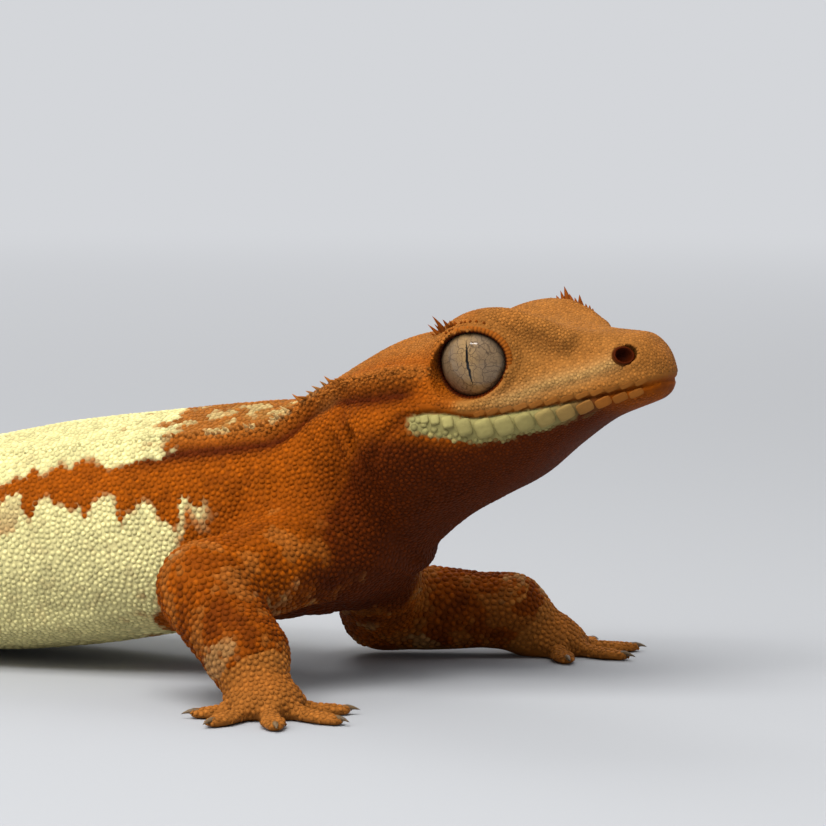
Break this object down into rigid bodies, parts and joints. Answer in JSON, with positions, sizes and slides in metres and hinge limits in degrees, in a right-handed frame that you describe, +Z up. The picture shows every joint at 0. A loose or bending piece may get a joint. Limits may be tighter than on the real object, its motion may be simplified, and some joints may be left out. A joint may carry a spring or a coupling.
{
  "type": "crested gecko, still life-size model",
  "caption": "Crested gecko standing with its head raised: spined brows and crest, big lidless eyes, padded toes, tail laid along the floor.",
  "frame": {"origin": "under the middle of the whole model, at floor level", "axes": "+X towards the head, +Y towards the animal's left, +Z up"},
  "size_m": [0.1926, 0.0784, 0.0328],
  "materials": {
    "skin_rust": "fine dry granular scales, rust orange",
    "skin_cream": "fine dry granular scales, cream with rust patches",
    "skin_lip": "smooth lip scutes, cream fading to rust at the chin",
    "eye": "wet glossy eye, grey-beige iris with dark veins and a slit pupil",
    "claw": "small translucent horn claws"
  },
  "bodies": {
    "root": {"head": "skin_rust", "jaw": "skin_lip", "eye_left": "eye", "eye_right": "eye", "neck": "skin_rust", "torso": "skin_cream", "tail_base": "skin_rust", "tail_middle": "skin_rust", "tail_end": "skin_rust", "arm_right_upper": "skin_rust", "arm_right_lower": "skin_rust", "hand_right": "skin_rust", "arm_left_upper": "skin_rust", "arm_left_lower": "skin_rust", "hand_left": "skin_rust", "leg_right_upper": "skin_rust", "leg_right_lower": "skin_rust", "foot_right": "skin_rust", "leg_left_upper": "skin_rust", "leg_left_lower": "skin_rust", "foot_left": "skin_rust"}
  },
  "joints": []
}
